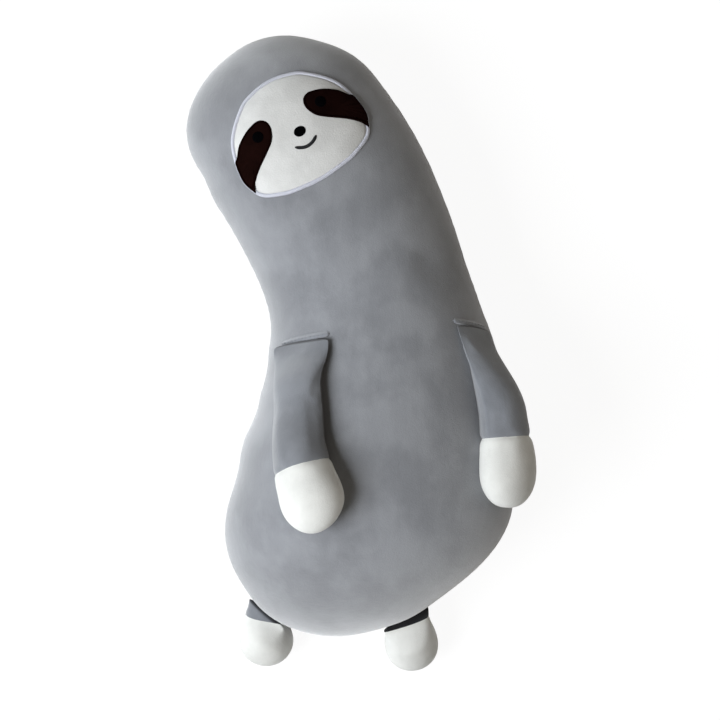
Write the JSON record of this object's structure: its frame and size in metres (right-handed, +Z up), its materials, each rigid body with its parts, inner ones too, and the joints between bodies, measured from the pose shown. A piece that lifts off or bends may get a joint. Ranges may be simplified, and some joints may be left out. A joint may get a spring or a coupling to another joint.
{
  "type": "plush sloth",
  "caption": "Long plush sloth lying on its back, a bent bolster body with an embroidered face, arms resting on the belly and short legs, each limb flapping on its seam.",
  "frame": {"origin": "middle of the outline seen from above, on the surface that the toy lies on", "axes": "+Z up, out of the toy's front; +Y towards its head; +X towards its left hand"},
  "size_m": [0.3194, 0.6142, 0.2123],
  "materials": {
    "grey_plush": "short brushed nap",
    "limb_plush": "short brushed nap",
    "white_plush": "short brushed nap",
    "face_fabric": "matt",
    "edging_thread": "satin stitch",
    "brown_fabric": "matt",
    "black_thread": "satin stitch",
    "stuffing": "loose fibre"
  },
  "bodies": {
    "trunk": {"front_panel": "grey_plush", "back_panel": "grey_plush", "body_stuffing": "stuffing", "face_panel": "face_fabric", "face_edging": "edging_thread", "nose": "black_thread", "mouth": "black_thread", "right_eye_patch": "brown_fabric", "right_eye": "black_thread", "left_eye_patch": "brown_fabric", "left_eye": "black_thread", "right_shoulder_tuck": "limb_plush", "left_shoulder_tuck": "limb_plush"},
    "right_arm": {"right_sleeve": "limb_plush", "right_hand": "white_plush", "right_arm_stuffing": "stuffing"},
    "left_arm": {"left_sleeve": "limb_plush", "left_hand": "white_plush", "left_arm_stuffing": "stuffing"},
    "right_leg": {"right_leg_cover": "limb_plush", "right_foot": "white_plush", "right_leg_stuffing": "stuffing"},
    "left_leg": {"left_leg_cover": "limb_plush", "left_foot": "white_plush", "left_leg_stuffing": "stuffing"}
  },
  "joints": [
    {"name": "right_shoulder", "type": "hinge", "parent": "trunk", "child": "right_arm", "pos_m": [-0.05225, 0.01706, 0.14154], "axis": [-0.8143, -0.1978, -0.5457], "range_deg": [0, 90]},
    {"name": "left_shoulder", "type": "hinge", "parent": "trunk", "child": "left_arm", "pos_m": [0.1045, 0.02791, 0.12933], "axis": [-0.7064, 0.1397, 0.6939], "range_deg": [0, 90]},
    {"name": "right_hip", "type": "hinge", "parent": "trunk", "child": "right_leg", "pos_m": [-0.08737, -0.24411, 0.052], "axis": [-0.7527, 0.6583, 0], "range_deg": [0, 75]},
    {"name": "left_hip", "type": "hinge", "parent": "trunk", "child": "left_leg", "pos_m": [0.04662, -0.24885, 0.052], "axis": [-0.895, -0.446, 0], "range_deg": [0, 75]}
  ]
}
